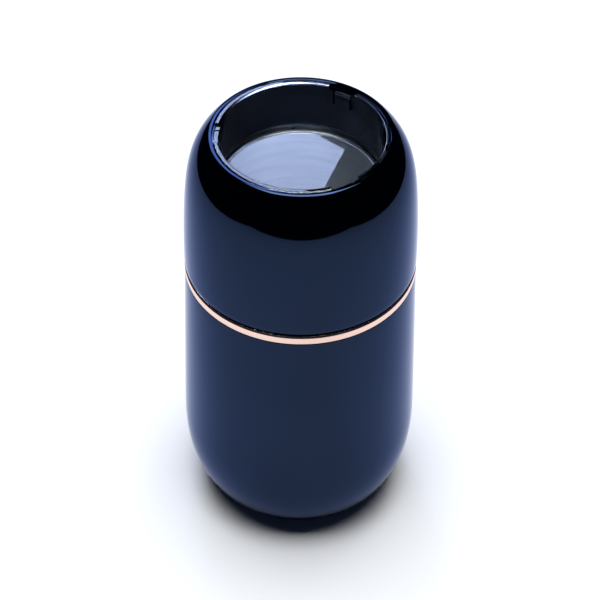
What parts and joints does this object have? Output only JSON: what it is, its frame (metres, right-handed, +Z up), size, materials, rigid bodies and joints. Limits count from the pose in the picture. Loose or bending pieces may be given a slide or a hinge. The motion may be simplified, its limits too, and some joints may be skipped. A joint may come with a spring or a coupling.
{
  "type": "electric coffee and spice grinder",
  "caption": "Push-lid electric blade grinder: domed lid with a deep clear window cup, steel grinding bowl with a two-wing blade, and a rounded gloss body with its motor.",
  "frame": {"origin": "on the table under the middle of the round body, level with the underside of its rubber feet", "axes": "+Z up along the axis of the body, blade and lid; +Y towards the back, where the mains lead's gland is; -Y is the front"},
  "size_m": [0.0966, 0.0966, 0.1849],
  "materials": {
    "shell_plastic": "high gloss navy lacquer over moulded ABS",
    "clear_plastic": "clear polished SAN plastic",
    "black_plastic": "fine matte black moulding",
    "silicone": "translucent grey silicone",
    "rubber": "matte black rubber",
    "screw_steel": "zinc-plated steel",
    "rose_gold": "satin rose-gold plating",
    "stainless": "pressed and polished stainless steel",
    "blade_steel": "ground stainless steel",
    "shaft_steel": "ground and polished steel",
    "lamination_steel": "stacked blued lamination edges",
    "copper_winding": "enamelled copper wire",
    "copper_bar": "turned copper",
    "bearing_bronze": "oiled sintered bronze",
    "brass": "bright stamped brass",
    "carbon": "dull carbon",
    "frame_plastic": "glass-filled nylon",
    "fan_plastic": "natural nylon",
    "switch_plastic": "matte phenolic",
    "button_plastic": "glossy red plastic",
    "wire_cover": "blue PVC insulation",
    "capacitor_case": "yellow moulded case",
    "fuse_white": "white ceramic"
  },
  "bodies": {
    "base": {"base_cover": "black_plastic", "body_shell": "shell_plastic", "bowl_collar": "black_plastic", "bowl_gasket": "silicone", "bowl_screws": "screw_steel", "bowl_seat": "black_plastic", "brush_holders": "brass", "brush_springs": "screw_steel", "carbon_brushes": "carbon", "collar_screws": "screw_steel", "cord_gland": "rubber", "cover_screws": "screw_steel", "field_coils": "copper_winding", "grinding_bowl": "stainless", "lead_wires": "wire_cover", "lower_bearing": "bearing_bronze", "motor_bottom_bracket": "frame_plastic", "motor_dampers": "rubber", "motor_screws": "screw_steel", "motor_top_bracket": "frame_plastic", "push_rod_spring": "screw_steel", "rubber_feet": "rubber", "shaft_seal": "rubber", "stator_core": "lamination_steel", "suppressor_capacitor": "capacitor_case", "switch_case": "switch_plastic", "switch_screws": "screw_steel", "switch_terminals": "brass", "thermal_fuse": "fuse_white", "trim_ring": "rose_gold", "upper_bearing": "bearing_bronze"},
    "rotor": {"motor_shaft": "shaft_steel", "armature_core": "lamination_steel", "armature_windings": "copper_winding", "commutator_bars": "copper_bar", "commutator_hub": "frame_plastic", "cooling_fan": "fan_plastic", "blade_bush": "bearing_bronze", "blade": "blade_steel", "blade_nut": "blade_steel"},
    "press_rod": {"push_rod": "screw_steel"},
    "switch_plunger": {"switch_button": "button_plastic"},
    "lid": {"lid_shell": "shell_plastic", "window_cup": "clear_plastic", "chamber_liner": "black_plastic", "lid_seal": "silicone", "liner_screws": "screw_steel"}
  },
  "joints": [
    {"name": "lid_press", "type": "slide", "parent": "base", "child": "press_rod", "axis": [0, 0, 1], "range_m": [-0.0012, 0], "stiffness_N_per_m": 1500, "springref_m": 0.0025, "deforming": ["push_rod_spring"]},
    {"name": "lid_lift", "type": "slide", "parent": "press_rod", "child": "lid", "axis": [0, 0, 1], "range_m": [0, 0.09]},
    {"name": "switch_press", "type": "slide", "parent": "base", "child": "switch_plunger", "axis": [0, 0, 1], "range_m": [-0.0012, 0]},
    {"name": "rotor_spin", "type": "hinge", "parent": "base", "child": "rotor", "pos_m": [0, 0, 0.0635], "axis": [0, 0, 1], "continuous": true}
  ],
  "couplings": [
    {"joint": "switch_press", "follows": "lid_press", "ratio": 1}
  ]
}
